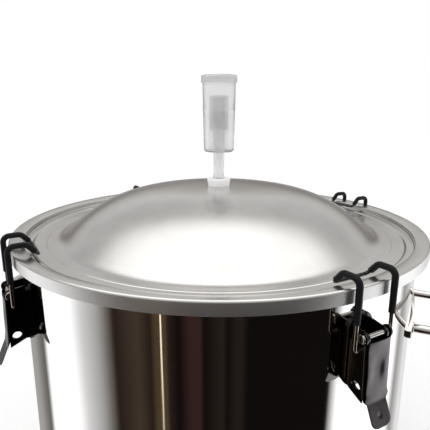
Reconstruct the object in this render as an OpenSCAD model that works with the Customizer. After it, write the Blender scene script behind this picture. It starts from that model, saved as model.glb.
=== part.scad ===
// Brew kettle: straight drum, latched domed lid, stopper with a three-piece airlock, outlet valve.
// Origin: centre of the underside of the base. +Z up, outlet towards -Y, handles on the X axis.

/* [Drum] */
// Outer diameter of the drum
drum_d = 400; // [380:5:420]
// Height from the table to the top of the rolled rim
rim_h = 400; // [300:5:460]
// Wall thickness of the drum
wall = 1.2; // [1:0.1:1.6]
// Thickness of the bonded base disc
disc_t = 5; // [3:0.5:8]

/* [Lid] */
// How far the lid's skirt stands outside the drum
skirt_out = 10; // [9:0.5:11]
// Height of the skirt
skirt_h = 11; // [9:0.5:12]
// Sheet thickness of the lid
lid_t = 1; // [0.8:0.1:1.2]
// Height of the dome's top above the flange
dome_h = 38.5; // [25:0.5:50]
// Radius of the dome's foot
dome_r = 164; // [150:1:170]

/* [Airlock] */
// Outer diameter of the cup at its rim
cup_d = 34.4; // [30:0.2:38]
// Height of the cup above its floor
cup_h = 76; // [60:1:90]
// Outer diameter of the stem
stem_d = 11.5; // [9:0.5:12]

/* [Latches] */
// Distance between the two legs of the bail
bail_w = 36; // [34:0.5:40]
// Diameter of the bail's wire
wire_d = 3; // [2.5:0.1:3.2]
// Outer diameter of the rubber sleeve
sleeve_d = 5; // [4:0.2:5]
// Outer width of the lever
lever_w = 26; // [24:0.5:27]

/* [Handles] */
// Diameter of the handle's rod
grip_d = 8; // [6:0.5:10]
// Distance between the handle's two legs
grip_w = 90; // [80:5:100]
// How far the handle reaches out from the drum
grip_out = 50; // [40:1:60]

/* [Outlet] */
// Height of the outlet's axis above the table
outlet_h = 45; // [40:1:80]
// Radius of the outlet's female thread at its crest
outlet_r = 9.3; // [8:0.1:10]

/* [Hidden] */
$fn = 72;

drum_r = drum_d / 2;
lid_r = drum_r + skirt_out;
curl_r = 4.4;
corner_r = 14;
gasket_t = 3;
flange_z = rim_h + gasket_t + lid_t;
flange_in = lid_r - 12;
flange_fall = 1.7;

// Lid: step down inside the flange, floor and dome, measured from the flange's top
step_z = -7.2;
floor_z = -9;
dome_power = 3.4;
foot_blend = 5;
dome_steps = 30;

// Stopper: its radii and heights from the flange's top
plug_top = 46.5;
plug_low = 22;
plug_top_r = 12.4;
plug_low_r = 9;
plug_hole_r = stem_d / 2 + 0.05;
lid_hole_r = 11.5;

// Airlock: heights from the flange's top
cup_z = 74.5;
stem_low = 18;
cup_wall = 1.1;
tube_top = 129.8;
tube_r = 6.3;
bore_r = 4.4;
bell_r = 9.9;
bell_wall = 0.9;
bell_low = 98;
cap_r = 18.4;
cap_low = 144.5;

// Latch: radial place and height from the flange's top
plate_t = 1.8;
plate_w = 25;
plate_top = -24.5;
plate_low = -84;
sheet = 1.2;
pivot_x = drum_r + 14.6;
pivot_z = -36.7;
leg_x = drum_r + 13;
eye_z = -46.2;
lock_x = drum_r + 12;
lock_z = -75;
lock_r = 4;
pin_r = 2;
pin_fit = 0.06;
ear_y = 10.1;
hook_top = 7.3;
hook_bend = 5.5;
hook_run = 7;
hook_turn = 47.5;
hook_drop = 11.2;
bar_bend = 4;
sleeve_low = -25;
latch_angles = [315, 225, 135, 45];

// Handle and its pad, height from the flange's top
grip_z = -80;
grip_tilt = 5;
grip_bend = 14;
pad_t = 3.2;
pad_w = 120;
pad_h = 42;

// Outlet, measured along its own axis from the drum's centre
pipe_r = 7.5;
nipple_r = 10.4;
thread_gap = 0.05;
seal_r = 16;
ball_r = 11;
ball_at = drum_r + 31;
split_at = drum_r + 38;
end_at = drum_r + 60;
spindle_r = 4;
lever_y = 31;

corners = ["front_right", "front_left", "back_left", "back_right"];

// Points along an arc
function arc(centre, r, from, to, steps = 6) =
  [for (i = [0:steps]) centre + r * [cos(from + (to - from) * i / steps),
                                     sin(from + (to - from) * i / steps)]];

function unit(v) = v / norm(v);
function left_of(v) = [-v[1], v[0]];
function way(line, i) = unit(line[min(i + 1, len(line) - 1)] - line[min(i, len(line) - 2)]);
function side(line, i) =
  let (before = left_of(way(line, max(i - 1, 0))), after = left_of(way(line, i)),
       middle = unit(before + after))
  middle / (middle * before);

// Closed outline of a sheet of even thickness, lying to the left of a line
function sheet_outline(line, t) =
  concat(line, [for (i = [len(line) - 1:-1:0]) line[i] + t * side(line, i)]);

// Rectangle from x0,y0 to x1,y1 with its four corners rounded
function rounded(x0, y0, x1, y1, low_r, top_r) = concat(
  arc([x1 - low_r, y0 + low_r], low_r, 270, 360),
  arc([x1 - top_r, y1 - top_r], top_r, 0, 90),
  arc([x0 + top_r, y1 - top_r], top_r, 90, 180),
  arc([x0 + low_r, y0 + low_r], low_r, 180, 270));

// Height of the dome over the lid's floor: a flat crown, steep flanks and a soft foot
function crown(r) = (dome_h - floor_z) * (1 - pow(r / dome_r, dome_power));
function dome(r) =
  let (h = crown(r))
  h > foot_blend ? h : h < -foot_blend ? 0 : pow(h + foot_blend, 2) / (4 * foot_blend);

module from_flange() {
  translate([0, 0, flange_z]) children();
}

// Extrudes an outline drawn in X and Z along Y, from y to y + t
module upright(y, t) {
  translate([0, y + t, 0]) rotate([90, 0, 0]) linear_extrude(t) children();
}

// Extrudes an outline drawn in Y and Z along X, from x to x + t
module facing(x, t) {
  translate([x, 0, 0]) rotate([90, 0, 90]) linear_extrude(t) children();
}

module both_sides() {
  for (flip = [0, 1]) mirror([0, flip, 0]) children();
}

// A length of rod along +Z; what follows starts at its end
module run(length, r) {
  cylinder(h = length, r = r);
  translate([0, 0, length]) children();
}

// A bend from +Z towards -X; what follows starts at its end
module bend(bend_r, turn, r) {
  translate([-bend_r, 0, 0]) {
    rotate([90, 0, 0]) rotate_extrude(angle = turn) translate([bend_r, 0]) circle(r = r);
    rotate([0, -turn, 0]) translate([bend_r, 0, 0]) children();
  }
}

module hexagon(flats, t) {
  cylinder(h = t, r = flats / sqrt(3), $fn = 6);
}

module kettle_body() {
  outer = concat([[0, disc_t]],
                 arc([drum_r - corner_r, disc_t + corner_r], corner_r, 270, 360, 8),
                 [[drum_r, rim_h - curl_r]]);
  color("silver") difference() {
    rotate_extrude($fn = 360) {
      polygon(sheet_outline(outer, wall));
      translate([drum_r - wall + curl_r, rim_h - curl_r]) difference() {
        circle(r = curl_r);
        circle(r = curl_r - wall);
        translate([-curl_r - 1, -curl_r - 1]) square([curl_r + 2.5, curl_r + 1]);
      }
    }
    at_outlet() translate([0, 0, drum_r - 20]) cylinder(h = 40, r = nipple_r + 0.2);
  }
}

module base_disc() {
  color("gainsboro") cylinder(h = disc_t, r = drum_r - corner_r - 4, $fn = 360);
}

module lid() {
  line = concat(
    [[lid_r, -skirt_h]],
    arc([lid_r - 2, -2], 2, 0, 85),
    [[flange_in, -flange_fall], [flange_in - 0.9, -2.6], [flange_in - 0.9, step_z + 0.9],
     [flange_in - 1.8, step_z], [lid_r - 19.6, step_z], [lid_r - 21.4, floor_z],
     [lid_r - 32.4, floor_z], [lid_r - 32.9, floor_z + 0.4], [lid_r - 36, floor_z + 0.4]],
    [for (i = [0:dome_steps])
      let (r = dome_r + 6 - (dome_r + 6 - lid_hole_r) * i / dome_steps)
      [r, floor_z + 0.4 + dome(r) * (dome_h - floor_z - 0.4) / (dome_h - floor_z)]]);
  color("lightgray") from_flange() rotate_extrude($fn = 360) polygon(sheet_outline(line, lid_t));
}

// Fills the space between the rolled rim and the sloping underside of the lid's flange
module lid_gasket() {
  inside = drum_r - 0.4;
  outside = lid_r - lid_t - 0.6;
  slope_end = lid_r - 3;
  function under(r) = flange_z - lid_t - 0.06 - flange_fall * (lid_r - 2 - r) / (lid_r - 2 - flange_in);
  color("whitesmoke") rotate_extrude($fn = 360) difference() {
    polygon([[inside, rim_h - 2.4], [outside, rim_h - 2.4], [outside, under(slope_end)],
             [slope_end, under(slope_end)], [inside, under(inside)]]);
    translate([drum_r - wall + curl_r, rim_h - curl_r]) circle(r = curl_r + 0.02);
  }
}

module stopper() {
  round_r = 1.4;
  color("white") from_flange() difference() {
    rotate_extrude() polygon(concat(
      [[0, plug_low], [plug_low_r, plug_low]],
      arc([plug_top_r - round_r, plug_top - round_r], round_r, 0, 90, 8),
      [[0, plug_top]]));
    translate([0, 0, plug_low - 1]) cylinder(h = plug_top, r = plug_hole_r);
  }
}

module airlock_body() {
  cup_r = cup_d / 2;
  foot_r = cup_r - 1.3;
  color("azure") from_flange() rotate_extrude() difference() {
    union() {
      polygon(concat(
        [[0, cup_z]],
        arc([foot_r - 3, cup_z + 3], 3, 270, 360, 8),
        [[cup_r, cup_z + cup_h], [cup_r - cup_wall, cup_z + cup_h],
         [foot_r - cup_wall, cup_z + 4], [foot_r - cup_wall - 2, cup_z + 2], [0, cup_z + 2]]));
      translate([0, stem_low]) square([stem_d / 2, cup_z - stem_low + 1]);
      translate([0, cup_z]) square([tube_r, tube_top - cup_z]);
    }
    translate([0, stem_low - 1]) square([bore_r, tube_top - stem_low + 2]);
  }
}

module airlock_bubbler() {
  bell_top = tube_top + 0.05 + bell_wall;
  color("aliceblue") from_flange() difference() {
    rotate_extrude() difference() {
      polygon(concat([[0, bell_low], [bell_r, bell_low]],
                     arc([bell_r - 1.5, bell_top - 1.5], 1.5, 0, 90),
                     [[0, bell_top]]));
      translate([0, bell_low - 1]) square([bell_r - bell_wall, bell_top - bell_wall - bell_low + 1]);
    }
    for (turn = [0, 90]) rotate([0, 0, turn]) translate([-2, -bell_r - 1, bell_low - 1])
      cube([4, 2 * bell_r + 2, 4]);
  }
}

module airlock_cap() {
  cap_top = cup_z + cup_h + 0.05 + cup_wall;
  color("azure") from_flange() difference() {
    rotate_extrude() polygon(concat(
      [[cap_r - cup_wall, cap_low], [cap_r, cap_low]],
      arc([cap_r - 1, cap_top - 1], 1, 0, 90),
      [[0, cap_top], [0, cap_top - cup_wall], [cap_r - cup_wall, cap_top - cup_wall]]));
    for (turn = [0:60:300]) rotate([0, 0, turn]) translate([9, 0, cap_top - 3]) cylinder(h = 5, r = 0.8);
  }
}

// Places one latch at its corner, with X pointing away from the drum's axis
module at_latch(corner) {
  rotate([0, 0, latch_angles[corner]]) from_flange() children();
}

module cross_hole(x, z, r) {
  translate([x, 0, z]) rotate([90, 0, 0]) cylinder(h = 2 * bail_w, r = r, center = true);
}

module latch_bracket() {
  head_r = 3.6;
  foot_r = 5.5;
  ear = concat([[drum_r + 1, pivot_z + head_r + 2]],
               arc([pivot_x, pivot_z], head_r, 90, -20),
               arc([lock_x, lock_z], foot_r, 5, -90),
               [[drum_r + 1, lock_z - foot_r]]);
  color("dimgray") difference() {
    union() {
      facing(drum_r - 1, plate_t + 1)
        polygon(rounded(-plate_w / 2, plate_low, plate_w / 2, plate_top, 9, 12));
      both_sides() upright(ear_y - 1.5, 1.5) polygon(ear);
    }
    translate([0, 0, plate_low - 5]) cylinder(h = plate_top - plate_low + 10, r = drum_r, $fn = 360);
    cross_hole(pivot_x, pivot_z, pin_r + 0.02);
    cross_hole(lock_x, lock_z, lock_r);
  }
}

module latch_pin() {
  head_y = lever_w / 2 + 0.35;
  color("gray") translate([pivot_x, 0, pivot_z]) rotate([90, 0, 0]) {
    cylinder(h = 2 * head_y, r = pin_r, center = true);
    for (flip = [0, 1]) mirror([0, 0, flip]) translate([0, 0, head_y]) cylinder(h = 1.4, r = 3.6);
  }
}

module latch_lever() {
  half = lever_w / 2;
  front_top = [drum_r + 19.6, -39.5];
  front_low = [drum_r + 20.9, -85.5];
  tab_angle = -24;
  cheek = concat([front_low + [-0.6, 0.4], front_top + [-0.6, -0.5]],
                 arc([pivot_x, pivot_z], 4.6, 0, 150),
                 arc([drum_r + 7, -43], 3, 150, 180, 3),
                 arc([drum_r + 8, -76], 4, 180, 255, 5));
  front = [front_top, front_top - [sheet, 0], front_low - [sheet, 0], front_low];
  color("dimgray") difference() {
    union() {
      both_sides() upright(half - sheet, sheet) polygon(cheek);
      upright(-half, lever_w) polygon(front);
      translate([front_low[0] - sheet, 0, front_low[1] + 0.8]) rotate([0, tab_angle, 0])
        facing(0, sheet) polygon(rounded(-half + 3, -18, half - 3, 0, 5, 0.1));
    }
    cross_hole(pivot_x, pivot_z, pin_r + pin_fit);
    cross_hole(leg_x, eye_z, wire_d / 2 + pin_fit);
    cross_hole(lock_x, lock_z, lock_r);
  }
}

// One end of the hook: up the leg, in across the flange and down towards the lid's step
module claw(leg, r) {
  run(leg, r) bend(hook_bend, 90, r) run(hook_run, r) bend(hook_bend, hook_turn, r)
    run(hook_drop - bar_bend, r) children();
}

// The same line followed outwards again from the crossbar
module claw_back(leg, r) {
  run(hook_drop - bar_bend, r) bend(hook_bend, hook_turn, r) run(hook_run, r) bend(hook_bend, 90, r)
    run(leg, r) children();
}

// Both legs and the crossbar in one line, starting at the bottom of a leg of the given length
module hook(leg, r) {
  claw(leg, r) rotate([0, 0, 90]) bend(bar_bend, 90, r) run(bail_w - 2 * bar_bend, r)
    bend(bar_bend, 90, r) rotate([0, 0, -90]) claw_back(leg, r) children();
}

module latch_bail() {
  r = wire_d / 2;
  eye_bend = 3;
  eye_run = bail_w / 2 - eye_bend - ear_y - 0.8;
  leg = hook_top - hook_bend - eye_z - eye_bend;
  color("silver") translate([leg_x, ear_y + 0.8, eye_z]) rotate([-90, 90, 0])
    run(eye_run, r) bend(eye_bend, 90, r) rotate([0, 0, -90]) hook(leg, r)
      rotate([0, 0, 90]) bend(eye_bend, 90, r) run(eye_run, r);
}

// Sleeve over one leg and its hook; the crossbar between the two hooks stays bare
module hook_sleeve() {
  leg = hook_top - hook_bend - sleeve_low;
  bore_r = wire_d / 2 + 0.02;
  color("black") difference() {
    translate([leg_x, bail_w / 2, sleeve_low]) claw(leg, sleeve_d / 2);
    translate([leg_x, bail_w / 2, sleeve_low - 1]) claw(leg + 1, bore_r) cylinder(h = 1, r = bore_r);
  }
}

module handle() {
  start = drum_r - 12;
  color("silver") difference() {
    from_flange() translate([0, 0, grip_z]) translate([drum_r, 0, 0]) rotate([0, grip_tilt, 0])
      translate([-drum_r, 0, 0]) both_sides() translate([start, grip_w / 2, 0])
        rotate([0, 90, 0]) rotate([0, 0, 90])
          run(drum_r + grip_out - grip_d / 2 - grip_bend - start, grip_d / 2)
            bend(grip_bend, 90, grip_d / 2) run(grip_w / 2 - grip_bend, grip_d / 2);
    cylinder(h = flange_z, r = drum_r + pad_t, $fn = 360);
  }
}

// Oval plate bent to the drum: two large arcs make its long edges and one its ends
module handle_pad() {
  edge_r = 110;
  color("silver") intersection() {
    difference() {
      cylinder(h = flange_z, r = drum_r + pad_t, $fn = 360);
      translate([0, 0, -1]) cylinder(h = flange_z + 2, r = drum_r, $fn = 360);
    }
    from_flange() translate([drum_r - 20, 0, grip_z]) rotate([0, 90, 0]) intersection() {
      translate([edge_r - pad_h / 2, 0, 0]) cylinder(h = 40, r = edge_r);
      translate([pad_h / 2 - edge_r, 0, 0]) cylinder(h = 40, r = edge_r);
      cylinder(h = 40, r = pad_w / 2);
    }
  }
}

// Along the outlet's axis: local +Z points out of the drum and local +Y points up
module at_outlet() {
  translate([0, 0, outlet_h]) rotate([90, 0, 0]) children();
}

module drill(from, to, r) {
  translate([0, 0, from]) cylinder(h = to - from, r = r);
}

module bulkhead() {
  color("silver") at_outlet() difference() {
    union() {
      drill(drum_r - 12, drum_r + 18, nipple_r);
      translate([0, 0, drum_r + 3]) hexagon(30, 6);
    }
    drill(drum_r - 13, drum_r + 19, pipe_r);
  }
}

module bulkhead_nut() {
  color("silver") at_outlet() difference() {
    translate([0, 0, drum_r - 10.4]) hexagon(27, 6);
    drill(drum_r - 12, drum_r - 2, nipple_r + thread_gap);
  }
}

module outer_seal() {
  color("white") difference() {
    at_outlet() difference() {
      drill(drum_r - 2, drum_r + 3, seal_r);
      drill(drum_r - 3, drum_r + 4, nipple_r + thread_gap);
    }
    cylinder(h = outlet_h * 2, r = drum_r, $fn = 360);
  }
}

module inner_seal() {
  color("white") intersection() {
    at_outlet() difference() {
      drill(drum_r - 4.4, drum_r, seal_r - 1);
      drill(drum_r - 5, drum_r + 1, nipple_r + thread_gap);
    }
    cylinder(h = outlet_h * 2, r = drum_r - wall, $fn = 360);
  }
}

module valve_body() {
  color("lightslategray") at_outlet() difference() {
    union() {
      drill(drum_r + 9, split_at, 16);
      translate([0, 0, drum_r + 9]) hexagon(33, 9);
      translate([0, 0, ball_at]) rotate([-90, 0, 0]) cylinder(h = 24, r = 6.9);
    }
    drill(drum_r + 8, drum_r + 18.5, nipple_r + thread_gap);
    drill(drum_r + 18, split_at + 1, pipe_r);
    drill(ball_at - 11.5, split_at + 1, 12.2);
    translate([0, 0, ball_at]) rotate([-90, 0, 0]) cylinder(h = 25, r = spindle_r + 0.05);
  }
}

module valve_end() {
  color("lightslategray") at_outlet() difference() {
    union() {
      drill(split_at, end_at, 14.5);
      translate([0, 0, end_at - 10]) hexagon(31, 9);
    }
    drill(split_at - 1, ball_at + 11.5, 12.2);
    drill(split_at, end_at + 1, pipe_r);
    drill(end_at - 14, end_at + 1, outlet_r);
  }
}

module seat(from, to) {
  color("white") at_outlet() difference() {
    drill(from, to, 12.15);
    drill(from - 1, to + 1, pipe_r);
    translate([0, 0, ball_at]) sphere(r = ball_r + 0.05);
  }
}

module valve_ball() {
  color("silver") at_outlet() translate([0, 0, ball_at]) difference() {
    rotate([0, 90, 0]) rotate_extrude() intersection() {
      circle(r = ball_r);
      translate([pipe_r, -ball_r]) square([ball_r, 2 * ball_r]);
    }
    translate([-6, ball_r - 2.5, -2]) cube([12, 5, 4]);
  }
}

module valve_stem() {
  color("silver") at_outlet() translate([0, 0, ball_at]) {
    rotate([-90, 0, 0]) translate([0, 0, ball_r]) cylinder(h = lever_y + 9 - ball_r, r = spindle_r);
    intersection() {
      translate([-3.4, ball_r - 2.4, -1.9]) cube([6.8, 3, 3.8]);
      rotate([-90, 0, 0]) cylinder(h = 20, r = spindle_r);
    }
  }
}

module packing_nut() {
  color("silver") at_outlet() translate([0, 24, ball_at]) rotate([-90, 0, 0]) difference() {
    hexagon(17, 5);
    translate([0, 0, -1]) cylinder(h = 7, r = spindle_r + 0.05);
  }
}

// Lever of the valve: a cranked strip from the spindle towards +X
module valve_handle() {
  strip = [[-9, lever_y], [22, lever_y], [34, lever_y + 9], [104, lever_y + 9],
           [104, lever_y + 12], [33, lever_y + 12], [21, lever_y + 3], [-9, lever_y + 3]];
  color("silver") at_outlet() difference() {
    translate([0, 0, ball_at - 8]) linear_extrude(16) polygon(strip);
    translate([0, 0, ball_at]) rotate([-90, 0, 0]) cylinder(h = 60, r = spindle_r + 0.02);
  }
}

module valve_grip() {
  color("firebrick") at_outlet() difference() {
    translate([40, lever_y + 7.2, ball_at - 10]) cube([67, 6.6, 20]);
    translate([39, lever_y + 9, ball_at - 8]) cube([65, 3, 16]);
  }
}

module handle_nut() {
  color("silver") at_outlet() translate([0, lever_y + 3, ball_at]) rotate([-90, 0, 0]) difference() {
    hexagon(13, 5);
    translate([0, 0, -1]) cylinder(h = 7, r = spindle_r + 0.02);
  }
}

kettle_body();
base_disc();
lid();
lid_gasket();
stopper();
airlock_body();
airlock_bubbler();
airlock_cap();
for (corner = [0:3]) {
  at_latch(corner) latch_bracket();
  at_latch(corner) latch_pin();
  at_latch(corner) latch_lever();
  at_latch(corner) latch_bail();
  at_latch(corner) hook_sleeve();
  at_latch(corner) mirror([0, 1, 0]) hook_sleeve();
}
handle();  // handle_right
mirror([1, 0, 0]) handle();  // handle_left
handle_pad();  // handle_pad_right
mirror([1, 0, 0]) handle_pad();  // handle_pad_left
bulkhead();
bulkhead_nut();
inner_seal();
outer_seal();
valve_body();
valve_end();
seat(ball_at - 11.45, ball_at - 7.4);  // seat_inner
seat(ball_at + 7.4, ball_at + 11.45);  // seat_outer
valve_ball();
valve_stem();
packing_nut();
valve_handle();
valve_grip();
handle_nut();
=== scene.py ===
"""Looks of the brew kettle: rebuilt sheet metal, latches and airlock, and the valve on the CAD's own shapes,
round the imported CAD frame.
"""

import math

import bmesh
import bpy
from mathutils import Matrix, Vector


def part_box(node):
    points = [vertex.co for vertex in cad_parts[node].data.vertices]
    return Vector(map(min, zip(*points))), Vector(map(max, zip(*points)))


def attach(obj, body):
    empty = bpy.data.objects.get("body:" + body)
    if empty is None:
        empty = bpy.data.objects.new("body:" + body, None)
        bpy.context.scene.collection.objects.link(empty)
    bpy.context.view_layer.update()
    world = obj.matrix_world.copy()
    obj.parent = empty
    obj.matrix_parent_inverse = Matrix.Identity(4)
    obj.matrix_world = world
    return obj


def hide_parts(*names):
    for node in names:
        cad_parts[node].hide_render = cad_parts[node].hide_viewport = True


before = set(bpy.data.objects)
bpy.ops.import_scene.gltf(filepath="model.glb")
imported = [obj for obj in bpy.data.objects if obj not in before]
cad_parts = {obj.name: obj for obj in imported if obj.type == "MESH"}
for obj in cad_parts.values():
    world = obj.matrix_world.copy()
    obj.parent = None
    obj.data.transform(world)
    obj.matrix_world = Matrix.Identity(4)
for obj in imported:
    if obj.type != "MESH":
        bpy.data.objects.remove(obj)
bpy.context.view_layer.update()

MM = 0.001
CORNERS = {"front_right": 315, "front_left": 225, "back_left": 135, "back_right": 45}

# ---------------------------------------------------------------- sizes, in millimetres
lid_low, lid_high = (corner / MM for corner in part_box("lid"))
drum_low, drum_high = (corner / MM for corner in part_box("kettle_body"))
RIM_Z = drum_high.z
LID_R = lid_high.x
DRUM_R = LID_R - 10
SKIRT_H = 11
FLANGE_Z = lid_low.z + SKIRT_H
DISC_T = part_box("base_disc")[1].z / MM
WALL = 1.2
CURL_R = 4.4
LID_T = 1
DOME_R = 164
FLOOR_Z = -9
HOLE_R = 11.5
STEM_R = 5.75
CUP_Z = 74.5
CUP_H = 76
PIVOT = (DRUM_R + 14.6, -36.7)
LEG_X = DRUM_R + 13
EYE_Z = -46.2
LOCK = (DRUM_R + 12, -75)
BAIL_HALF = 18
LEVER_HALF = 13
EAR_Y = 10.1
GRIP_Z = -80
FACE_R = 85
FACE_T = 0.75
FOLD_R = 1.6
WIRE_R = 1.5
SLEEVE_R = 2.5
COAT_Z = FLANGE_Z - 15
SHARP = 32


# ---------------------------------------------------------------- outlines and paths
def arc(centre, radius, start, end, steps=8):
    """Points on a circle from one angle to another, in degrees."""
    turns = [math.radians(start + (end - start) * i / steps) for i in range(steps + 1)]
    return [(centre[0] + radius * math.cos(t), centre[1] + radius * math.sin(t)) for t in turns]


def rounded(corners, radii, steps=5, closed=True):
    """A line of straight runs whose corners, in 2D or 3D, are turned into arcs."""
    points = [Vector(p).to_3d() if len(p) == 2 else Vector(p) for p in corners]
    made = []
    count = len(points)
    for i, point in enumerate(points):
        radius = radii[i] if isinstance(radii, (list, tuple)) else radii
        if radius <= 0 or (not closed and i in (0, count - 1)):
            made.append(point)
            continue
        before = (points[i - 1] - point).normalized()
        after = (points[(i + 1) % count] - point).normalized()
        half = before.angle(after) / 2
        if half > math.radians(89.5):
            made.append(point)
            continue
        bisector = (before + after).normalized()
        centre = point + bisector * (radius / math.sin(half))
        start = point + before * (radius / math.tan(half)) - centre
        end = point + after * (radius / math.tan(half)) - centre
        for k in range(steps + 1):
            made.append(centre + start.slerp(end, k / steps) * radius)
    return made


def sheet(line, thickness):
    """Closed outline of a sheet of even thickness, to the left of a line of (x, z) points."""
    inner = []
    for i, point in enumerate(line):
        back = line[max(i - 1, 0)]
        ahead = line[min(i + 1, len(line) - 1)]
        along = Vector((ahead[0] - back[0], ahead[1] - back[1])).normalized()
        inner.append((point[0] - along.y * thickness, point[1] + along.x * thickness))
    return list(line) + inner[::-1]


def dome_height(r):
    """Height of the dome above the lid's floor: flat crown, steep flank, soft foot."""
    blend = 5
    rise = (lid_high.z - FLANGE_Z - FLOOR_Z) * (1 - (r / DOME_R) ** 3.4)
    if rise > blend:
        return rise
    return 0 if rise < -blend else (rise + blend) ** 2 / (4 * blend)


# ---------------------------------------------------------------- meshes
def mesh_piece(name, vertices, faces, place=None, sharp=SHARP):
    """A mesh object from points in millimetres, moved to its place in the part's frame."""
    mesh = bpy.data.meshes.new(name)
    place = place or Matrix.Identity(4)
    mesh.from_pydata([place @ (Vector(v) * MM) for v in vertices], [], faces)
    work = bmesh.new()
    work.from_mesh(mesh)
    bmesh.ops.remove_doubles(work, verts=work.verts, dist=1e-6)
    bmesh.ops.recalc_face_normals(work, faces=work.faces)
    work.to_mesh(mesh)
    work.free()
    mesh.shade_smooth()
    mesh.set_sharp_from_angle(angle=math.radians(sharp))
    piece = bpy.data.objects.new(name, mesh)
    bpy.context.scene.collection.objects.link(piece)
    return piece


def lathe(name, outline, place=None, turns=192, sharp=SHARP):
    """Turns a closed outline of (radius, height) points about the vertical axis."""
    vertices, faces, rings = [], [], []
    for point in outline:
        r, z = point[0], point[1]
        if r < 1e-6:
            rings.append([len(vertices)] * turns)
            vertices.append((0, 0, z))
            continue
        rings.append(list(range(len(vertices), len(vertices) + turns)))
        for k in range(turns):
            angle = 2 * math.pi * k / turns
            vertices.append((r * math.cos(angle), r * math.sin(angle), z))
    for i, low in enumerate(rings):
        high = rings[(i + 1) % len(rings)]
        for k in range(turns):
            m = (k + 1) % turns
            face = list(dict.fromkeys([low[k], low[m], high[m], high[k]]))
            if len(face) > 2:
                faces.append(face)
    return mesh_piece(name, vertices, faces, place, sharp)


def rings_along(path, radii, sides):
    """Circles of points set square to a path, with no twist between them."""
    path = [Vector(p) for p in path]
    tangents = []
    for i in range(len(path)):
        ahead = path[min(i + 1, len(path) - 1)] - path[max(i - 1, 0)]
        tangents.append(ahead.normalized())
    across = tangents[0].orthogonal().normalized()
    rings = []
    for i, point in enumerate(path):
        across = (across - across.dot(tangents[i]) * tangents[i]).normalized()
        other = tangents[i].cross(across)
        radius = radii[i] if isinstance(radii, (list, tuple)) else radii
        ring = []
        for k in range(sides):
            angle = 2 * math.pi * k / sides
            ring.append(point + (across * math.cos(angle) + other * math.sin(angle)) * radius)
        rings.append(ring)
    return rings


def rod(name, path, radius, place=None, sides=28, bore=0):
    """A round rod along a path, with eased ends, or a tube if it has a bore."""
    path = [Vector(p) for p in path]
    ease = min(0.35, radius * 0.3)
    first = (path[1] - path[0]).normalized()
    last = (path[-1] - path[-2]).normalized()
    line = [path[0], path[0] + first * ease * 0.3, path[0] + first * ease]
    line += path[1:-1]
    line += [path[-1] - last * ease, path[-1] - last * ease * 0.3, path[-1]]
    radii = [radius - ease, radius - ease * 0.3, radius] + [radius] * (len(path) - 2)
    radii += [radius, radius - ease * 0.3, radius - ease]
    rings = rings_along(line, radii, sides)
    if bore:
        # the bore runs back along the path, turned so that its points face the outer ones
        inner = rings_along(line[::-1], bore, sides)
        match = min(range(sides), key=lambda k: (inner[0][k] - rings[-1][0]).length)
        rings += [[ring[(match - k) % sides] for k in range(sides)] for ring in inner]
    vertices = [v for ring in rings for v in ring]
    faces = []
    last_ring = len(rings) if bore else len(rings) - 1
    for i in range(last_ring):
        a, b = i * sides, (i + 1) % len(rings) * sides
        for k in range(sides):
            m = (k + 1) % sides
            faces.append([a + k, a + m, b + m, b + k])
    if not bore:
        faces += [list(range(sides))[::-1], list(range(len(vertices) - sides, len(vertices)))]
    return mesh_piece(name, vertices, faces, place, 40)


def slab(name, outline, low, high, place=None):
    """Extrudes a closed outline of (x, y) points from one height to another."""
    count = len(outline)
    vertices = [(p[0], p[1], z) for z in (low, high) for p in outline]
    faces = [list(range(count))[::-1], list(range(count, 2 * count))]
    faces += [[k, (k + 1) % count, count + (k + 1) % count, count + k] for k in range(count)]
    return mesh_piece(name, vertices, faces, place)


def strip(name, rows, thickness, place=None):
    """A sheet-metal strip from rows of points, thickened to one side along its normals."""
    across = len(rows[0])
    top = [Vector(p) for row in rows for p in row]
    normals = []
    for i in range(len(rows)):
        for j in range(across):
            u = top[i * across + min(j + 1, across - 1)] - top[i * across + max(j - 1, 0)]
            v = top[min(i + 1, len(rows) - 1) * across + j] - top[max(i - 1, 0) * across + j]
            normals.append(u.cross(v).normalized())
    low = [p + n * thickness for p, n in zip(top, normals)]
    count = len(top)
    faces = []
    for i in range(len(rows) - 1):
        for j in range(across - 1):
            a = i * across + j
            faces.append([a, a + 1, a + across + 1, a + across])
            faces.append([count + a + across, count + a + across + 1, count + a + 1, count + a])
    for j in range(across - 1):
        end = (len(rows) - 1) * across + j
        faces += [[j + 1, j, count + j, count + j + 1], [end, end + 1, count + end + 1, count + end]]
    for i in range(len(rows) - 1):
        a, b = i * across, i * across + across - 1
        faces += [[a, a + across, count + a + across, count + a],
                  [b + across, b, count + b, count + b + across]]
    return mesh_piece(name, top + low, faces, place)


def join(main, others):
    """Adds other pieces' meshes to a piece."""
    work = bmesh.new()
    for piece in [main] + others:
        work.from_mesh(piece.data)
    work.to_mesh(main.data)
    work.free()
    for piece in others:
        bpy.data.objects.remove(piece)
    main.data.set_sharp_from_angle(angle=math.radians(SHARP))


def cut(piece, tool):
    """Takes a tool's volume out of a piece."""
    change = piece.modifiers.new("cut", "BOOLEAN")
    change.operation = "DIFFERENCE"
    change.solver = "EXACT"
    change.object = tool
    scene_state = bpy.context.evaluated_depsgraph_get()
    mesh = bpy.data.meshes.new_from_object(piece.evaluated_get(scene_state))
    piece.modifiers.clear()
    piece.data = mesh
    bpy.data.objects.remove(tool)


def eased(piece, width, segments=2, angle=35):
    """Rounds a piece's sharp edges by a small radius, in millimetres."""
    change = piece.modifiers.new("ease", "BEVEL")
    change.width = width * MM
    change.segments = segments
    change.limit_method = "ANGLE"
    change.angle_limit = math.radians(angle)
    change.harden_normals = False


def turned(x=0, y=0, z=0, axis="Z", angle=0):
    """A place: a turn about one axis, in degrees, then a move in millimetres."""
    return Matrix.Translation(Vector((x, y, z)) * MM) @ Matrix.Rotation(math.radians(angle), 4, axis)


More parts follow.
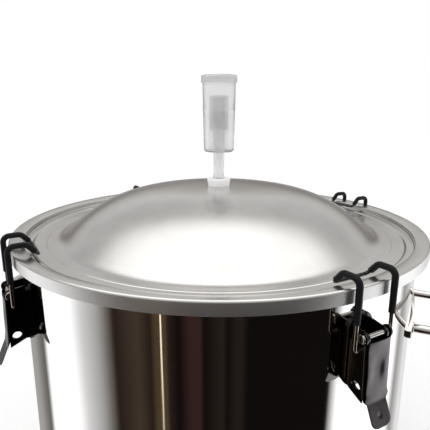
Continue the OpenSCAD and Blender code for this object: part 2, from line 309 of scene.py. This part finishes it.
# ---------------------------------------------------------------- materials
def nodes_of(name):
    """A new material, its node tree and its shader."""
    material = bpy.data.materials.new(name)
    material.use_nodes = True
    tree = material.node_tree
    return material, tree, tree.nodes["Principled BSDF"]


def math_node(tree, kind, a, b=None):
    """One sum on numbers or node outputs."""
    node = tree.nodes.new("ShaderNodeMath")
    node.operation = kind
    for socket, value in zip(node.inputs, (a, b)):
        if value is None:
            continue
        if isinstance(value, (int, float)):
            socket.default_value = value
        else:
            tree.links.new(value, socket)
    return node.outputs[0]


def place_of(tree, scale=(1, 1, 1), round_axis=False):
    """Texture coordinates in metres; round_axis gives (way round, radius, height) instead."""
    where = tree.nodes.new("ShaderNodeTexCoord").outputs["Object"]
    if round_axis:
        split = tree.nodes.new("ShaderNodeSeparateXYZ")
        tree.links.new(where, split.inputs[0])
        x, y, z = split.outputs
        angle = math_node(tree, "ARCTAN2", y, x)
        square = math_node(tree, "ADD", math_node(tree, "MULTIPLY", x, x),
                           math_node(tree, "MULTIPLY", y, y))
        merge = tree.nodes.new("ShaderNodeCombineXYZ")
        tree.links.new(math_node(tree, "MULTIPLY", angle, 0.2), merge.inputs[0])
        tree.links.new(math_node(tree, "SQRT", square), merge.inputs[1])
        tree.links.new(z, merge.inputs[2])
        where = merge.outputs[0]
    mapping = tree.nodes.new("ShaderNodeMapping")
    mapping.inputs["Scale"].default_value = scale
    tree.links.new(where, mapping.inputs["Vector"])
    return mapping.outputs[0]


def noise(tree, where, scale, detail=4):
    """Cloudy noise of a size, with finer detail at each step."""
    node = tree.nodes.new("ShaderNodeTexNoise")
    node.inputs["Scale"].default_value = scale
    node.inputs["Detail"].default_value = detail
    node.inputs["Roughness"].default_value = 0.55
    tree.links.new(where, node.inputs["Vector"])
    return node.outputs["Fac"]


def ramp(tree, value, stops):
    """Colours by value; stops are (place, grey or colour)."""
    node = tree.nodes.new("ShaderNodeValToRGB")
    tree.links.new(value, node.inputs[0])
    elements = node.color_ramp.elements
    while len(elements) < len(stops):
        elements.new(0.5)
    for element, (place, colour) in zip(elements, stops):
        element.position = place
        colour = (colour,) * 3 if isinstance(colour, (int, float)) else colour
        element.color = (*colour, 1)
    return node.outputs[0]


def rough_between(tree, value, low, high):
    """Spreads a value from 0 to 1 over a range of roughness."""
    node = tree.nodes.new("ShaderNodeMapRange")
    node.inputs["To Min"].default_value = low
    node.inputs["To Max"].default_value = high
    tree.links.new(value, node.inputs["Value"])
    return node.outputs[0]


def bump(tree, shader, height, strength, distance):
    """Fine relief from a height value; distance is in millimetres."""
    node = tree.nodes.new("ShaderNodeBump")
    node.inputs["Strength"].default_value = strength
    node.inputs["Distance"].default_value = distance * MM
    tree.links.new(height, node.inputs["Height"])
    tree.links.new(node.outputs[0], shader.inputs["Normal"])


def brushed_steel(name, grain, colours, rough, strength, round_axis=False, smudge=6, satin_from=0):
    """Steel with fine parallel grain and soft smudges, duller outside a radius if one is given."""
    material, tree, shader = nodes_of(name)
    lines = noise(tree, place_of(tree, grain, round_axis), 1, 3)
    cloud = noise(tree, place_of(tree, (1, 1, 1), round_axis), smudge, 3)
    shader.inputs["Metallic"].default_value = 1
    tree.links.new(ramp(tree, cloud, [(0.3, colours[0]), (0.7, colours[1])]), shader.inputs["Base Color"])
    mixed = math_node(tree, "ADD", math_node(tree, "MULTIPLY", lines, 0.6),
                      math_node(tree, "MULTIPLY", cloud, 0.4))
    finish = rough_between(tree, mixed, *rough)
    if satin_from:
        split = tree.nodes.new("ShaderNodeSeparateXYZ")
        tree.links.new(place_of(tree, round_axis=True), split.inputs[0])
        outside = math_node(tree, "GREATER_THAN", split.outputs[1], satin_from * MM)
        satin = math_node(tree, "MULTIPLY", outside, 0.4)
        finish = math_node(tree, "MAXIMUM", finish, satin)
    tree.links.new(finish, shader.inputs["Roughness"])
    bump(tree, shader, lines, strength, 0.05)
    return material


def polished_steel(name, colours, rough=(0.04, 0.16)):
    """Polished metal with faint scratches and handling marks."""
    material, tree, shader = nodes_of(name)
    marks = noise(tree, place_of(tree, (1, 1, 0.15)), 900, 2)
    cloud = noise(tree, place_of(tree), 45, 3)
    shader.inputs["Metallic"].default_value = 1
    tree.links.new(ramp(tree, cloud, [(0.35, colours[0]), (0.65, colours[1])]), shader.inputs["Base Color"])
    tree.links.new(rough_between(tree, cloud, *rough), shader.inputs["Roughness"])
    bump(tree, shader, marks, 0.06, 0.02)
    return material


def coated_wire(name, colours):
    """Polished wire whose hooked top, above COAT_Z, is dipped in black rubber."""
    material = polished_steel(name, colours, (0.1, 0.2))
    tree = material.node_tree
    shader = tree.nodes["Principled BSDF"]
    split = tree.nodes.new("ShaderNodeSeparateXYZ")
    tree.links.new(place_of(tree), split.inputs[0])
    bare = math_node(tree, "LESS_THAN", split.outputs[2], COAT_Z * MM)
    tree.links.new(bare, shader.inputs["Metallic"])
    mix = tree.nodes.new("ShaderNodeMix")
    mix.data_type = "RGBA"
    tree.links.new(bare, mix.inputs[0])
    mix.inputs[6].default_value = (0.006, 0.006, 0.007, 1)
    tree.links.new(shader.inputs["Base Color"].links[0].from_socket, mix.inputs[7])
    tree.links.new(mix.outputs[2], shader.inputs["Base Color"])
    return material


def moulded(name, colours, rough, grain=700, strength=0.12, coat=0.0, soft=0.0, shine=0.5):
    """Moulded rubber, vinyl or silicone with a fine skin texture."""
    material, tree, shader = nodes_of(name)
    skin = noise(tree, place_of(tree), grain, 4)
    cloud = noise(tree, place_of(tree), 60, 3)
    tree.links.new(ramp(tree, cloud, [(0.3, colours[0]), (0.7, colours[1])]), shader.inputs["Base Color"])
    tree.links.new(rough_between(tree, skin, *rough), shader.inputs["Roughness"])
    bump(tree, shader, skin, strength, 0.08)
    shader.inputs["Coat Weight"].default_value = coat
    shader.inputs["Specular IOR Level"].default_value = shine
    shader.inputs["Subsurface Weight"].default_value = soft
    shader.inputs["Subsurface Radius"].default_value = (0.01, 0.009, 0.008)
    shader.inputs["Subsurface Scale"].default_value = 0.3
    return material


def clear_plastic(name, tint):
    """Slightly frosted styrene with faint flow lines."""
    material, tree, shader = nodes_of(name)
    flow = noise(tree, place_of(tree, (1, 1, 0.3)), 160, 3)
    paler = tuple(min(1, c + 0.02) for c in tint)
    tree.links.new(ramp(tree, flow, [(0.3, tint), (0.7, paler)]), shader.inputs["Base Color"])
    tree.links.new(rough_between(tree, flow, 0.08, 0.22), shader.inputs["Roughness"])
    shader.inputs["IOR"].default_value = 1.49
    shader.inputs["Transmission Weight"].default_value = 0.8
    bump(tree, shader, flow, 0.08, 0.05)
    return material


MATERIALS = {
    "drum_steel": brushed_steel("drum_steel", (300, 40, 2), ((0.60, 0.585, 0.56), (0.72, 0.70, 0.67)),
                                (0.02, 0.05), 0.012, round_axis=True),
    "base_steel": brushed_steel("base_steel", (60, 1200, 1), ((0.5, 0.49, 0.47), (0.6, 0.59, 0.57)),
                                (0.28, 0.42), 0.25),
    "lid_steel": brushed_steel("lid_steel", (14, 620, 620), ((0.58, 0.565, 0.545), (0.72, 0.705, 0.68)),
                               (0.15, 0.3), 0.22, smudge=11, satin_from=LID_R - 0.6),
    "white_silicone": moulded("white_silicone", ((0.88, 0.88, 0.9), (0.93, 0.93, 0.94)), (0.35, 0.5),
                              soft=0.6),
    "white_rubber": moulded("white_rubber", ((0.86, 0.86, 0.87), (0.92, 0.92, 0.93)), (0.4, 0.55),
                            soft=0.3),
    "clear_plastic": clear_plastic("clear_plastic", (0.985, 0.985, 0.99)),
    "fitting_steel": brushed_steel("fitting_steel", (30, 900, 900), ((0.55, 0.53, 0.5), (0.68, 0.66, 0.63)),
                                   (0.14, 0.26), 0.12),
    "valve_steel": moulded("valve_steel", ((0.5, 0.5, 0.5), (0.6, 0.6, 0.59)), (0.34, 0.5), 420, 0.35),
    "seat_plastic": moulded("seat_plastic", ((0.85, 0.85, 0.84), (0.92, 0.92, 0.91)), (0.3, 0.4)),
    "polished_steel": polished_steel("polished_steel", ((0.66, 0.63, 0.6), (0.74, 0.71, 0.68)),
                                     rough=(0.05, 0.1)),
    "handle_steel": polished_steel("handle_steel", ((0.62, 0.59, 0.56), (0.7, 0.67, 0.64))),
    "red_vinyl": moulded("red_vinyl", ((0.42, 0.02, 0.02), (0.52, 0.03, 0.025)), (0.25, 0.4),
                         500, 0.15, 0.2),
    # the latches are polished steel like the handles; their near-black colour is a painted reflection that
    # stands in for the dark room they mirror
    "latch_steel": polished_steel("latch_steel", ((0.05, 0.046, 0.045), (0.09, 0.084, 0.084)),
                                  rough=(0.07, 0.2)),
    "pin_steel": polished_steel("pin_steel", ((0.4, 0.38, 0.36), (0.5, 0.48, 0.46)),
                                rough=(0.12, 0.24)),
    "wire_steel": coated_wire("wire_steel", ((0.4, 0.34, 0.28), (0.5, 0.44, 0.38))),
    "black_rubber": moulded("black_rubber", ((0.005, 0.005, 0.006), (0.011, 0.011, 0.012)), (0.34, 0.5),
                            shine=0.12),
}
MATERIALS["valve_steel"].node_tree.nodes["Principled BSDF"].inputs["Metallic"].default_value = 1


def finish_piece(piece, body, slot, *stood_for):
    """Paints a piece, sets its slot, hides the CAD nodes it stands for and rides it on its body."""
    piece.data.materials.clear()
    piece.data.materials.append(MATERIALS[slot])
    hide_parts(*stood_for)
    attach(piece, body)


def carry_over(node, slot, ease_width):
    """Keeps a CAD node's own mesh, with its edges rounded and the slot's material."""
    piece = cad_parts[node]
    mesh = piece.data
    if "custom_normal" in mesh.attributes:
        mesh.attributes.remove(mesh.attributes["custom_normal"])
    mesh.shade_smooth()
    mesh.materials.clear()
    mesh.materials.append(MATERIALS[slot])
    weld = piece.modifiers.new("weld", "WELD")
    weld.merge_threshold = 0.005 * MM
    eased(piece, ease_width, angle=30)
    smooth = piece.modifiers.new("normals", "WEIGHTED_NORMAL")
    smooth.keep_sharp = True


# ---------------------------------------------------------------- camera, light and floor
def studio():
    """Camera at the front, pale floor, soft lamp, and a painted room that only reflections show."""
    camera_data = bpy.data.cameras.new("camera")
    camera_data.lens = 36.25  # with the place and angles below, solved from the lid's rim
    camera_data.sensor_width = 36
    camera = bpy.data.objects.new("camera", camera_data)
    bpy.context.scene.collection.objects.link(camera)
    distance = 2.2 * LID_R * MM
    camera.location = (0.242 * distance, -0.970 * distance, (FLANGE_Z + 0.55 * LID_R) * MM)
    camera.rotation_euler = (math.radians(76.6), math.radians(-0.11), math.radians(14.53))
    bpy.context.scene.camera = camera

    floor = slab("floor", rounded([(-9000, -9000), (9000, -9000), (9000, 9000), (-9000, 9000)], 2000, 8),
                 -20, -0.4)
    material, tree, shader = nodes_of("floor_paint")
    speckle = noise(tree, place_of(tree), 3, 4)
    tree.links.new(ramp(tree, speckle, [(0.3, 0.9), (0.7, 0.93)]), shader.inputs["Base Color"])
    shader.inputs["Roughness"].default_value = 0.8
    floor.data.materials.append(material)
    floor.visible_glossy = False

    bpy.context.scene.view_settings.view_transform = "Standard"
    lamp_data = bpy.data.lights.new("soft_lamp", "SUN")
    lamp_data.energy = 0.55
    lamp_data.angle = math.radians(70)
    lamp = bpy.data.objects.new("soft_lamp", lamp_data)
    lamp.rotation_euler = (math.radians(22), math.radians(-18), 0)
    lamp.visible_glossy = False
    bpy.context.scene.collection.objects.link(lamp)
    world = bpy.data.worlds.new("studio")
    bpy.context.scene.world = world
    world.use_nodes = True
    tree = world.node_tree
    backdrop = tree.nodes["Background"]
    where = tree.nodes.new("ShaderNodeTexCoord").outputs["Generated"]
    mapping = tree.nodes.new("ShaderNodeMapping")
    mapping.inputs["Rotation"].default_value = (0, 0, math.radians(-14))
    tree.links.new(where, mapping.inputs["Vector"])
    split = tree.nodes.new("ShaderNodeSeparateXYZ")
    tree.links.new(mapping.outputs[0], split.inputs[0])
    x, y, z = split.outputs

    # the walls: colours by the angle round the kettle, 0 near the camera
    around = math_node(tree, "ARCTAN2", x, math_node(tree, "MULTIPLY", y, -1))
    around = math_node(tree, "ADD", math_node(tree, "DIVIDE", around, 2 * math.pi), 0.5)

    def at(degrees):
        """Place on the walls' ramp of an angle round the kettle."""
        return degrees / 360 + 0.5

    black, brown, umber = (0.008, 0.006, 0.006), (0.075, 0.054, 0.040), (0.03, 0.02, 0.016)
    grey, white, gold = (0.40, 0.39, 0.38), (1.75, 1.78, 1.84), (0.10, 0.07, 0.04)
    plum, pale = (0.05, 0.026, 0.022), (0.9, 0.9, 0.92)
    walls = ramp(tree, around, [
        (at(-180), grey), (at(-135), grey), (at(-120), (0.16, 0.15, 0.14)), (at(-114), white),
        (at(-92), white), (at(-82), (0.95, 0.96, 1.0)), (at(-71), (0.55, 0.55, 0.56)),
        (at(-65), (0.24, 0.22, 0.2)), (at(-60), umber), (at(-46), brown), (at(-38), umber),
        (at(-35), gold), (at(-29.5), gold), (at(-28), umber), (at(-22), black), (at(-15), plum),
        (at(-10), plum), (at(-8), black), (at(3), umber), (at(5), black), (at(12), umber), (at(17), black),
        (at(66), black), (at(73), white), (at(118), white), (at(126), grey), (at(140), pale),
        (at(180), grey)])

    # one bright streak, narrower than the ramp can hold
    streak_at, streak_half = -31.9, 0.5
    off = math_node(tree, "ABSOLUTE", math_node(tree, "SUBTRACT", around, at(streak_at)))
    streak = math_node(tree, "SUBTRACT", 1, math_node(tree, "MULTIPLY", off, 360 / streak_half))
    lit = tree.nodes.new("ShaderNodeMix")
    lit.data_type = "RGBA"
    tree.links.new(math_node(tree, "MAXIMUM", streak, 0), lit.inputs[0])
    tree.links.new(walls, lit.inputs[6])
    lit.inputs[7].default_value = (2.6, 2.2, 1.6, 1)

    # the sky: colours by height, stretched sideways because sideways distance counts for less
    side_share = 0.25
    aside = math_node(tree, "MULTIPLY", math_node(tree, "MULTIPLY", x, x), side_share)
    level = math_node(tree, "ADD", aside, math_node(tree, "MULTIPLY", y, y))
    height = math_node(tree, "ARCTAN2", z, math_node(tree, "SQRT", level))
    height = math_node(tree, "ADD", math_node(tree, "DIVIDE", height, math.pi), 0.5)

    def up(degrees):
        """Place on the sky's ramp of an angle above the horizon."""
        return degrees / 180 + 0.5

    share = ramp(tree, height, [(up(-8), 0.0), (up(-2), 1.0)])
    sky = ramp(tree, height, [(up(-4), 0.5), (up(1), (0.42, 0.42, 0.44)), (up(6), (0.06, 0.055, 0.05)),
                              (up(9), (0.24, 0.205, 0.17)), (up(14), (0.56, 0.55, 0.53)), (up(20), 0.74),
                              (up(34), 0.6), (up(48), 0.64), (up(64), 1.6), (up(90), 1.75)])
    mixed = tree.nodes.new("ShaderNodeMix")
    mixed.data_type = "RGBA"
    tree.links.new(share, mixed.inputs[0])
    tree.links.new(lit.outputs[2], mixed.inputs[6])
    tree.links.new(sky, mixed.inputs[7])

    # only reflections show the room: all other rays meet plain white
    rays = tree.nodes.new("ShaderNodeLightPath")
    glossy = tree.nodes.new("ShaderNodeMix")
    glossy.data_type = "RGBA"
    mirrored_ray = math_node(tree, "SUBTRACT", rays.outputs["Is Glossy Ray"],
                             rays.outputs["Is Transmission Ray"])
    tree.links.new(math_node(tree, "MAXIMUM", mirrored_ray, 0.0), glossy.inputs[0])
    glossy.inputs[6].default_value = (1.0, 1.0, 1.0, 1)
    tree.links.new(mixed.outputs[2], glossy.inputs[7])
    tree.links.new(glossy.outputs[2], backdrop.inputs["Color"])
    backdrop.inputs["Strength"].default_value = 1.0


studio()


# ---------------------------------------------------------------- drum
def build_drum():
    """The drum with its rolled rim and outlet hole, and the base disc."""
    top = RIM_Z - CURL_R
    centre = (DRUM_R - WALL + CURL_R, top)
    corner = (DRUM_R - 14, DISC_T + 14)
    outline = [(0, DISC_T)] + arc(corner, 14, 270, 360, 12)
    outline += arc(centre, CURL_R - WALL, 180, -62, 20)
    outline += arc(centre, CURL_R, -66, 180, 26)
    outline += arc(corner, 14 - WALL, 360, 270, 12) + [(0, DISC_T + WALL)]
    drum = lathe("drum_shell", outline, turns=256)
    low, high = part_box("bulkhead")
    height = (low.z + high.z) / 2 / MM
    tool = slab("hole", arc((0, 0), 10.6, 0, 360, 48)[:-1], -20, 20,
                turned(0, -DRUM_R, height, "X", 90))
    cut(drum, tool)
    drum.data.set_sharp_from_angle(angle=math.radians(SHARP))
    finish_piece(drum, "kettle", "drum_steel", "kettle_body")
    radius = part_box("base_disc")[1].x / MM
    disc = lathe("base_plate", [(0, 0), (radius - 1.2, 0), (radius, 1.2), (radius, DISC_T), (0, DISC_T)])
    eased(disc, 0.3)
    finish_piece(disc, "kettle", "base_steel", "base_disc")


def build_lid():
    """The lid from its skirt over the groove to the hole in the dome, and the seal under it."""
    edge = LID_R - 12
    line = [(LID_R, -SKIRT_H)] + arc((LID_R - 2, -2), 2, 0, 80, 8)
    bends = [(edge + 1.5, -1.45), (edge - 0.9, -1.85), (edge - 0.9, -7.2), (LID_R - 19.6, -7.2),
             (LID_R - 21.4, FLOOR_Z), (LID_R - 32.4, FLOOR_Z), (LID_R - 32.9, FLOOR_Z + 0.4),
             (LID_R - 36, FLOOR_Z + 0.4)]
    line += [(p.x, p.y) for p in rounded(bends, [0, 1.1, 1.1, 1.4, 1.4, 0.2, 0.2, 0], 5, closed=False)]
    foot = FLOOR_Z + 0.4
    rise = lid_high.z - FLANGE_Z
    steps = 72
    for i in range(steps + 1):
        r = DOME_R + 6 - (DOME_R + 6 - HOLE_R) * i / steps
        line.append((r, foot + dome_height(r) * (rise - foot) / (rise - FLOOR_Z)))
    lid = lathe("lid_shell", sheet(line, LID_T), turned(z=FLANGE_Z), turns=320, sharp=40)
    finish_piece(lid, "kettle", "lid_steel", "lid")
    inside, outside = DRUM_R - 0.4, LID_R - LID_T - 0.6

    def under(r):
        """Height of the seal's top, just below the lid's sloping ring."""
        return RIM_Z + 2.92 - 0.167 * (LID_R - 2 - r)

    centre = (DRUM_R - WALL + CURL_R, RIM_Z - CURL_R)
    seal = arc(centre, CURL_R + 0.05, 135, 28, 16)
    seal += [(outside, seal[-1][1]), (outside, under(LID_R - 3) - 0.6), (LID_R - 3, under(LID_R - 3)),
             (inside, under(inside)), (inside, under(inside) - 2.6)]
    finish_piece(lathe("lid_seal", seal, turns=192), "kettle", "white_silicone", "lid_gasket")


def build_airlock():
    """The stopper, and the airlock's cup with its stem, its bubbler and its cap."""
    place = turned(z=FLANGE_Z)
    low, high = (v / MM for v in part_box("stopper"))
    top, bottom, radius = high.z - FLANGE_Z, low.z - FLANGE_Z, high.x
    plug = [(STEM_R + 0.06, bottom + 0.5), (STEM_R + 0.5, bottom), (8.5, bottom)]
    plug += arc((radius - 1.4, top - 1.4), 1.4, -4, 90, 8)
    plug += [(STEM_R + 0.7, top), (STEM_R + 0.06, top - 0.6)]
    finish_piece(lathe("stopper_plug", plug, place, 96), "stopper", "white_rubber", "stopper")

    low, high = (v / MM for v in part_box("airlock_body"))
    cup_r, foot_r, wall = high.x, high.x - 1.3, 1.1
    stem_low, tube_top = low.z - FLANGE_Z, 129.8
    rim = CUP_Z + CUP_H
    cup = [(4.4, stem_low + 0.4), (4.8, stem_low), (STEM_R - 0.5, stem_low), (STEM_R, stem_low + 0.6),
           (STEM_R, CUP_Z - 1)]
    cup += arc((STEM_R + 1, CUP_Z - 1), 1, 180, 90, 4) + arc((foot_r - 3, CUP_Z + 3), 3, 270, 360, 8)
    # the fill line, a low ring round the cup
    mark = CUP_Z + 42
    share = (mark - CUP_Z) / CUP_H
    face = foot_r + (cup_r - foot_r) * share
    cup += [(face - 0.02, mark - 0.8), (face + 0.25, mark - 0.3), (face + 0.25, mark + 0.3),
            (face + 0.02, mark + 0.8), (cup_r, rim - 0.4), (cup_r - 0.4, rim), (cup_r - wall, rim - 0.2),
            (foot_r - wall, CUP_Z + 4)]
    cup += arc((foot_r - wall - 2, CUP_Z + 4), 2, 360, 270, 5)
    cup += [(7.2, CUP_Z + 2), (6.3, CUP_Z + 3), (6.3, tube_top - 0.5), (5.9, tube_top), (4.7, tube_top),
            (4.4, tube_top - 0.4)]
    finish_piece(lathe("airlock_cup", cup, place, 128), "airlock", "clear_plastic", "airlock_body")

    low, high = (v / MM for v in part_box("airlock_bubbler"))
    base, top, bell = low.z - FLANGE_Z, high.z - FLANGE_Z, high.x
    outline = [(bell - 0.9, base + 0.3), (bell - 0.6, base), (bell, base + 0.3)]
    outline += arc((bell - 1.5, top - 1.5), 1.5, 0, 90, 6) + [(0, top), (0, top - 0.9)]
    outline += arc((bell - 2.2, top - 2.2), 1.3, 90, 0, 5)
    piece = lathe("bubbler_bell", outline, place, 96)
    for turn in (0, 90):
        tool = slab("notch", rounded([(-2, base - 2), (2, base - 2), (2, base + 3), (-2, base + 3)], 0.6),
                    -20, 20, place @ turned(axis="Z", angle=turn) @ turned(axis="X", angle=90))
        cut(piece, tool)
    piece.data.set_sharp_from_angle(angle=math.radians(SHARP))
    finish_piece(piece, "bubbler", "clear_plastic", "airlock_bubbler")

    low, high = (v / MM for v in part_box("airlock_cap"))
    base, top, radius = low.z - FLANGE_Z, high.z - FLANGE_Z, high.x
    roof = top - wall + 0.15
    outline = [(radius - wall, base + 0.3), (radius - 0.7, base), (radius, base + 0.3)]
    outline += arc((radius - 1, top - 1), 1, 0, 90, 6) + [(0, top), (0, roof)]
    outline += arc((radius - wall - 0.7, roof - 0.8), 0.8, 90, 0, 4)
    piece = lathe("airlock_lid", outline, place, 128)
    for turn in range(0, 360, 60):
        tool = slab("vent", arc((9, 0), 0.8, 0, 360, 20)[:-1], top - 4, top + 3,
                    place @ turned(axis="Z", angle=turn))
        cut(piece, tool)
    piece.data.set_sharp_from_angle(angle=math.radians(SHARP))
    finish_piece(piece, "cap", "clear_plastic", "airlock_cap")


# ---------------------------------------------------------------- latches
def bail_path():
    """Half of the bail's centre line, from its eye to the middle of the crossbar."""
    top = 7.3
    return [(LEG_X, EAR_Y + 0.8, EYE_Z), (LEG_X, BAIL_HALF, EYE_Z), (LEG_X, BAIL_HALF, top),
            (LEG_X - 14.92, BAIL_HALF, top), (LEG_X - 24.12, BAIL_HALF, -2.74)]


def mirrored(points):
    """The same points on the latch's other side, in the opposite order."""
    return [(x, -y, z) for x, y, z in points[::-1]]


def lever_face(place):
    """The lever's dished front and its tab, as one sheet."""
    top, low = Vector((DRUM_R + 19.6, 0, -39.5)), Vector((DRUM_R + 20.9, 0, -85.5))
    lean = math.radians(24)
    tab = low + Vector((math.sin(lean), 0, -math.cos(lean))) * 18.6
    line = rounded([(top.x, top.z), (low.x, low.z), (tab.x, tab.z)], [0, 5, 0], 6, closed=False)
    points, lengths, total = [], [], 0
    for i in range(len(line) - 1):
        a, b = line[i], line[i + 1]
        pieces = max(1, round((b - a).length / 1.2))
        for k in range(pieces):
            points.append(a.lerp(b, k / pieces))
    points.append(line[-1])
    for i, point in enumerate(points):
        total += (point - points[i - 1]).length if i else 0
        lengths.append(total)
    rows = []
    front = (low - top).length
    for point, s in zip(points, lengths):
        left = lengths[-1] - s
        # half the width: less at the tab, whose corners are round
        half = LEVER_HALF
        if s > front - 2:
            half = max(LEVER_HALF - 3, LEVER_HALF - 3 * (s - front + 2) / 3)
        if left < 5:
            half = min(half, LEVER_HALF - 8 + math.sqrt(max(0, 25 - (5 - left) ** 2)))
        # depth of the hollow down the front, and the folds into the cheeks
        dish = 0
        if s < front - 3:
            dish = 1.4 * math.sin(math.pi * min(1, max(0, s - 1) / (front - 4)))
        fold = FOLD_R * min(1, max(0.2, (front - s) / 6))
        columns = [half - fold + fold * math.sin(math.radians(18 * k)) for k in range(5, 0, -1)]
        columns = [-y for y in columns] + [(half - fold) * (k / 8 - 1) for k in range(17)] + columns[::-1]
        crown = min(1, max(0, (front - s) / 6))
        row = []
        for y in columns:
            u = y / half
            # the hollow is an hourglass, narrowest halfway down
            waist = 0.95 - 0.3 * math.sin(math.pi * min(1, s / front))
            side = math.cos(math.pi / 2 * u / waist) ** 1.2 if abs(u) < waist else 0
            over = max(0, abs(y) - (half - fold))
            drop = fold - math.sqrt(max(0, fold**2 - over**2)) + crown * y * y / (2 * FACE_R)
            # the small dimple in the tab
            drop += 0.35 * math.exp(-(y * y + (left - 8) ** 2) / 1.2)
            row.append((point.x - dish * side - drop, y, point.y))
        rows.append(row)
    return strip("lever_face", rows, FACE_T, place)


def build_latch(corner, angle):
    """One toggle latch: bracket, lever, rivet, wire bail and the sleeves on its two hooks."""
    place = turned(z=FLANGE_Z, axis="Z", angle=angle)
    flat = place @ turned(axis="X", angle=90)
    # bracket and lever both take the latch steel, whose near-black colour is a painted reflection of the
    # dark room
    carry_over("bracket_" + corner, "latch_steel", 0.4)

    cheek = [(DRUM_R + 18.3, -85.1), (DRUM_R + 17, -39.8)] + arc(PIVOT, 4.6, -40, 150, 16)
    cheek += arc((DRUM_R + 7, -43), 3, 150, 180, 3) + arc((DRUM_R + 8, -76), 4, 180, 255, 6)
    lever = lever_face(place)
    sides = []
    for turn in (-1, 1):
        near, far = sorted((turn * (LEVER_HALF - 1.2), turn * LEVER_HALF))
        side = slab("cheek", cheek, near, far, flat)
        for (x, z), radius in ((PIVOT, 2.1), ((LEG_X, EYE_Z), 1.6), (LOCK, 4)):
            cut(side, slab("hole", arc((x, z), radius, 0, 360, 48)[:-1], -40, 40, flat))
        sides.append(side)
    join(lever, sides)
    eased(lever, 0.3, 3, 40)
    finish_piece(lever, "lever_" + corner, "latch_steel", "lever_" + corner)
    lever.name = "lever_channel_" + corner

    head = LEVER_HALF + 0.35
    outline = [(0, -head - 1.4), (1.6, -head - 1.4)] + arc((2.6, -head - 0.4), 1, 270, 360, 4)
    outline += [(3.6, -head), (2, -head)]
    outline += [(2, head), (3.6, head)] + arc((2.6, head + 0.4), 1, 0, 90, 4)
    outline += [(1.6, head + 1.4), (0, head + 1.4)]
    pin = lathe("rivet_" + corner, outline, flat @ turned(PIVOT[0], PIVOT[1]), 40)
    finish_piece(pin, "kettle", "pin_steel", "pin_" + corner)

    half = bail_path()
    whole = half + mirrored(half)
    bends = [0, 3, 5.5, 5.5, 4, 4, 5.5, 5.5, 3, 0]
    wire = rod("bail_wire_" + corner, rounded(whole, bends, 7, closed=False), WIRE_R, place)
    finish_piece(wire, "bail_" + corner, "wire_steel", "bail_" + corner)
    hook = [(LEG_X, BAIL_HALF, -25)] + half[2:4]
    end = Vector(half[3]).lerp(Vector(half[4]), 1 - 4 / 13.62)
    hook.append(tuple(end))
    for name, path in (("a", hook), ("b", [(x, -y, z) for x, y, z in hook])):
        line = rounded(path, [0, 5.5, 5.5, 0], 9, closed=False)
        sleeve = rod(f"hook_sleeve_{name}_{corner}", line, SLEEVE_R, place, 32, bore=WIRE_R + 0.02)
        finish_piece(sleeve, "bail_" + corner, "black_rubber", f"sleeve_{name}_{corner}")


# ---------------------------------------------------------------- handles
def build_handle(name, turn):
    """One side handle of round rod, with a weld bead round each end, on its oval pad."""
    place = turned(axis="Z", angle=turn)
    pad_out = DRUM_R + 3.2
    low, high = (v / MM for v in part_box("handle_right"))
    reach, half, radius = high.x - 4, high.y - 4, 4
    height = FLANGE_Z + GRIP_Z
    drop = math.tan(math.radians(5))

    def point(x, y):
        return (x, y, height - (x - DRUM_R) * drop)

    start = math.sqrt(pad_out**2 - half**2) - 0.6
    bead_r, bead_steps = 4.6, 40
    path = [point(start, half), point(reach, half), point(reach, -half), point(start, -half)]
    grip = rod("grip_" + name, rounded(path, [0, 14, 14, 0], 10, closed=False), radius, place, 36)
    beads = []
    for side in (half, -half):
        middle = point(math.sqrt(pad_out**2 - half**2), 0)[2]
        bead = []
        for k in range(bead_steps + 1):
            a = 2 * math.pi * k / bead_steps
            y = side + bead_r * math.cos(a)
            bead.append((math.sqrt(pad_out**2 - y**2) + 0.2, y, middle + bead_r * math.sin(a)))
        beads.append(rod("bead", bead, 0.9, place, 10))
    join(grip, beads)
    finish_piece(grip, "kettle", "polished_steel", "handle_" + name)
    carry_over("handle_pad_" + name, "polished_steel", 0.5)


# ---------------------------------------------------------------- outlet
def build_valve():
    """The outlet and its ball valve, all with the CAD's own shapes."""
    for node, slot, width in (("bulkhead", "fitting_steel", 0.5), ("bulkhead_nut", "fitting_steel", 0.5),
                              ("inner_seal", "white_silicone", 0.3), ("outer_seal", "white_silicone", 0.3),
                              ("valve_body", "valve_steel", 0.8), ("valve_end", "valve_steel", 0.8),
                              ("seat_inner", "seat_plastic", 0.2), ("seat_outer", "seat_plastic", 0.2),
                              ("packing_nut", "fitting_steel", 0.4),
                              ("valve_ball", "polished_steel", 0.2), ("valve_stem", "fitting_steel", 0.3),
                              ("valve_handle", "handle_steel", 0.4), ("valve_grip", "red_vinyl", 1.2),
                              ("handle_nut", "fitting_steel", 0.4)):
        carry_over(node, slot, width)


build_drum()
build_lid()
build_airlock()
for corner, angle in CORNERS.items():
    build_latch(corner, angle)
build_handle("right", 0)
build_handle("left", 180)
build_valve()
